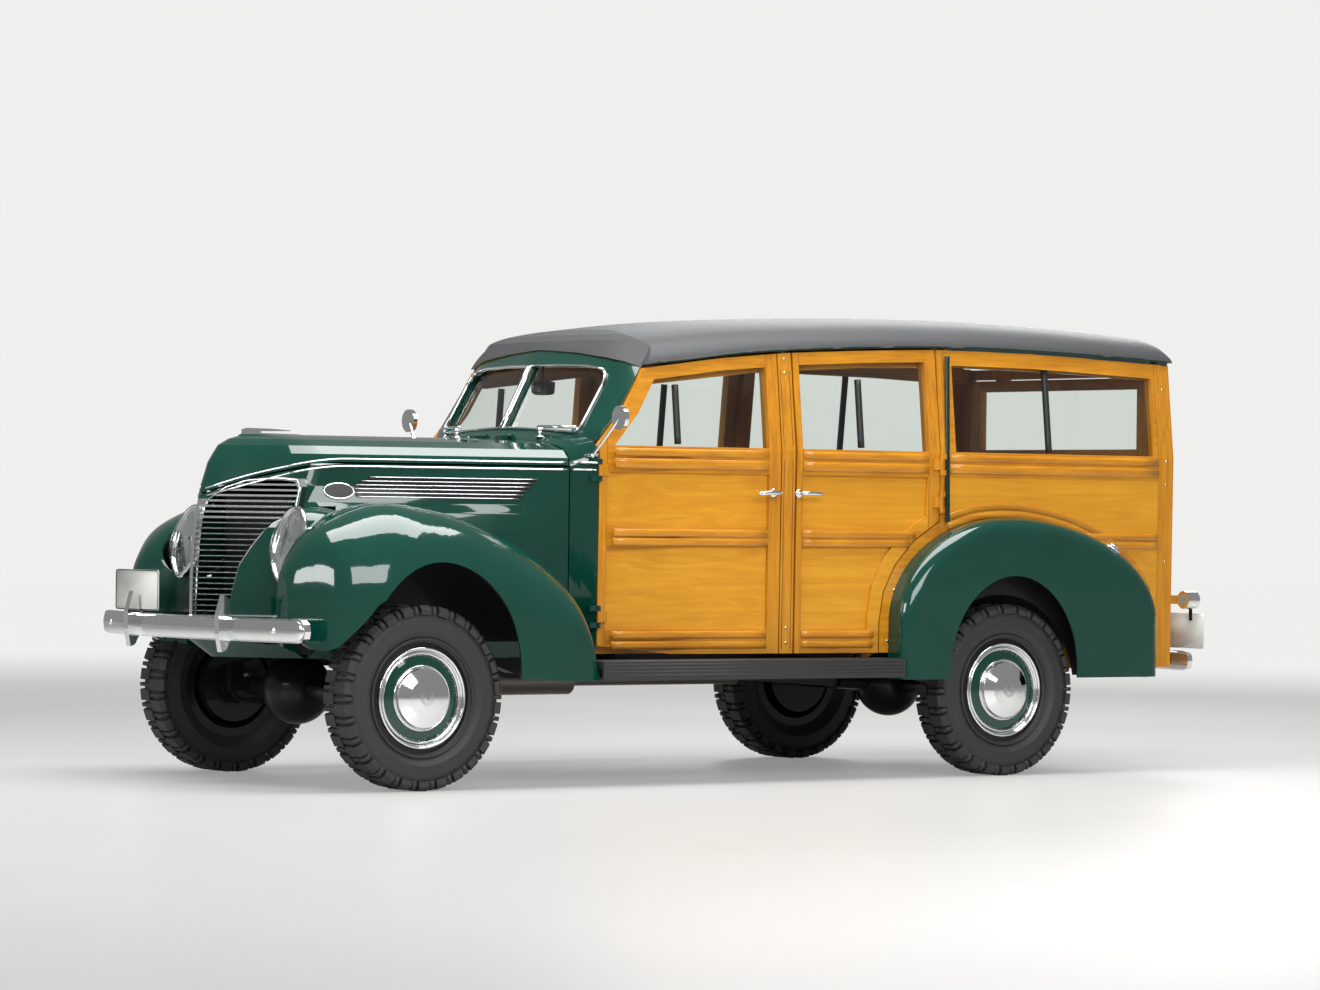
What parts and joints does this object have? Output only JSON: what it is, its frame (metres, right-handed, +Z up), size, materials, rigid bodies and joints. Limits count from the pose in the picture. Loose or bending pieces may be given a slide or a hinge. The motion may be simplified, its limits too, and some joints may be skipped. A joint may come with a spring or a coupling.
{
  "type": "wood-bodied station wagon",
  "caption": "Pre-war four-door station wagon with a framed wooden body, steel prow front, barred grille, raised four-wheel-drive chassis and mud tyres.",
  "frame": {"origin": "on the ground, under the middle of the whole vehicle", "axes": "+X forward, +Y to the left, +Z up"},
  "size_m": [4.65, 1.72, 1.9051],
  "materials": {
    "paint_green": "gloss",
    "wood": "satin varnish",
    "roof_fabric": "matt",
    "glass": "clear",
    "chrome": "polished",
    "tyre": "matt",
    "rubber": "matt",
    "chassis_black": "satin",
    "cast_iron": "matt",
    "seat_leather": "satin",
    "lens": "fluted",
    "steel": "dull",
    "horn": "gloss",
    "floor_mat": "matt"
  },
  "bodies": {
    "body": {"body_sides": "wood", "chassis_frame": "chassis_black", "cowl": "paint_green", "driveline": "cast_iron", "engine": "cast_iron", "exhaust": "steel", "fenders_front": "paint_green", "fenders_rear": "paint_green", "floor": "floor_mat", "front_axle": "chassis_black", "front_bumper": "chrome", "front_panels": "paint_green", "fuel_tank": "chassis_black", "glass_fixed": "glass", "grille": "chrome", "headlamp_lenses": "lens", "mirrors": "chrome", "rear_axle": "chassis_black", "rear_bumper": "chrome", "roof": "roof_fabric", "running_boards": "rubber", "seats": "seat_leather", "tail_lamps": "chrome"},
    "hood": {"hood": "paint_green"},
    "door_front_left": {"door_front_left": "wood", "glass_door_front_left": "glass"},
    "door_front_right": {"door_front_right": "wood", "glass_door_front_right": "glass"},
    "door_rear_left": {"door_rear_left": "wood", "glass_door_rear_left": "glass"},
    "door_rear_right": {"door_rear_right": "wood", "glass_door_rear_right": "glass"},
    "liftgate": {"liftgate": "wood", "glass_liftgate": "glass"},
    "tailgate": {"tailgate": "wood"},
    "knuckle_front_left": {"knuckle_front_left": "chassis_black"},
    "knuckle_front_right": {"knuckle_front_right": "chassis_black"},
    "tie_rod": {"tie_rod": "chassis_black"},
    "steering_wheel": {"steering_wheel": "horn"},
    "wheel_front_left": {"tyre_front_left": "tyre", "wheel_front_left": "paint_green"},
    "wheel_front_right": {"tyre_front_right": "tyre", "wheel_front_right": "paint_green"},
    "wheel_rear_left": {"tyre_rear_left": "tyre", "wheel_rear_left": "paint_green"},
    "wheel_rear_right": {"tyre_rear_right": "tyre", "wheel_rear_right": "paint_green"}
  },
  "joints": [
    {"name": "hood_hinge", "type": "hinge", "parent": "body", "child": "hood", "pos_m": [0.847, 0, 1.37394], "axis": [0, -1, 0], "range_deg": [0, 45]},
    {"name": "door_front_left_hinge", "type": "hinge", "parent": "body", "child": "door_front_left", "pos_m": [0.7675, 0.65572, 1], "axis": [0, 0, -1], "range_deg": [0, 70]},
    {"name": "door_front_right_hinge", "type": "hinge", "parent": "body", "child": "door_front_right", "pos_m": [0.7675, -0.65572, 1], "axis": [0, 0, 1], "range_deg": [0, 70]},
    {"name": "door_rear_left_hinge", "type": "hinge", "parent": "body", "child": "door_rear_left", "pos_m": [-0.8595, 0.76094, 1.2], "axis": [0, 0, 1], "range_deg": [0, 70]},
    {"name": "door_rear_right_hinge", "type": "hinge", "parent": "body", "child": "door_rear_right", "pos_m": [-0.8595, -0.76094, 1.2], "axis": [0, 0, -1], "range_deg": [0, 70]},
    {"name": "liftgate_hinge", "type": "hinge", "parent": "body", "child": "liftgate", "pos_m": [-2.144, 0, 1.6806], "axis": [0, 1, 0], "range_deg": [0, 85]},
    {"name": "tailgate_hinge", "type": "hinge", "parent": "body", "child": "tailgate", "pos_m": [-2.144, 0, 0.6775], "axis": [0, -1, 0], "range_deg": [0, 90]},
    {"name": "steer_left", "type": "hinge", "parent": "body", "child": "knuckle_front_left", "pos_m": [1.665, 0.57, 0.355], "axis": [0, 0, 1], "range_deg": [-30, 30]},
    {"name": "steer_right", "type": "hinge", "parent": "body", "child": "knuckle_front_right", "pos_m": [1.665, -0.57, 0.355], "axis": [0, 0, 1], "range_deg": [-30, 30]},
    {"name": "tie_rod_pivot", "type": "hinge", "parent": "knuckle_front_left", "child": "tie_rod", "pos_m": [1.475, 0.57, 0.2828], "axis": [0, 0, 1], "range_deg": [-30, 30]},
    {"name": "steering_wheel_spin", "type": "hinge", "parent": "body", "child": "steering_wheel", "pos_m": [0.47, 0.35, 1.15], "axis": [-0.8139, 0, 0.581], "range_deg": [-450, 450]},
    {"name": "wheel_front_left_spin", "type": "hinge", "parent": "knuckle_front_left", "child": "wheel_front_left", "pos_m": [1.665, 0.72, 0.355], "axis": [0, 1, 0], "continuous": true},
    {"name": "wheel_front_right_spin", "type": "hinge", "parent": "knuckle_front_right", "child": "wheel_front_right", "pos_m": [1.665, -0.72, 0.355], "axis": [0, 1, 0], "continuous": true},
    {"name": "wheel_rear_left_spin", "type": "hinge", "parent": "body", "child": "wheel_rear_left", "pos_m": [-1.18, 0.72, 0.355], "axis": [0, 1, 0], "continuous": true},
    {"name": "wheel_rear_right_spin", "type": "hinge", "parent": "body", "child": "wheel_rear_right", "pos_m": [-1.18, -0.72, 0.355], "axis": [0, 1, 0], "continuous": true}
  ],
  "couplings": [
    {"joint": "steer_right", "follows": "steer_left", "ratio": 1},
    {"joint": "tie_rod_pivot", "follows": "steer_left", "ratio": -1},
    {"joint": "steering_wheel_spin", "follows": "steer_left", "ratio": 15}
  ]
}
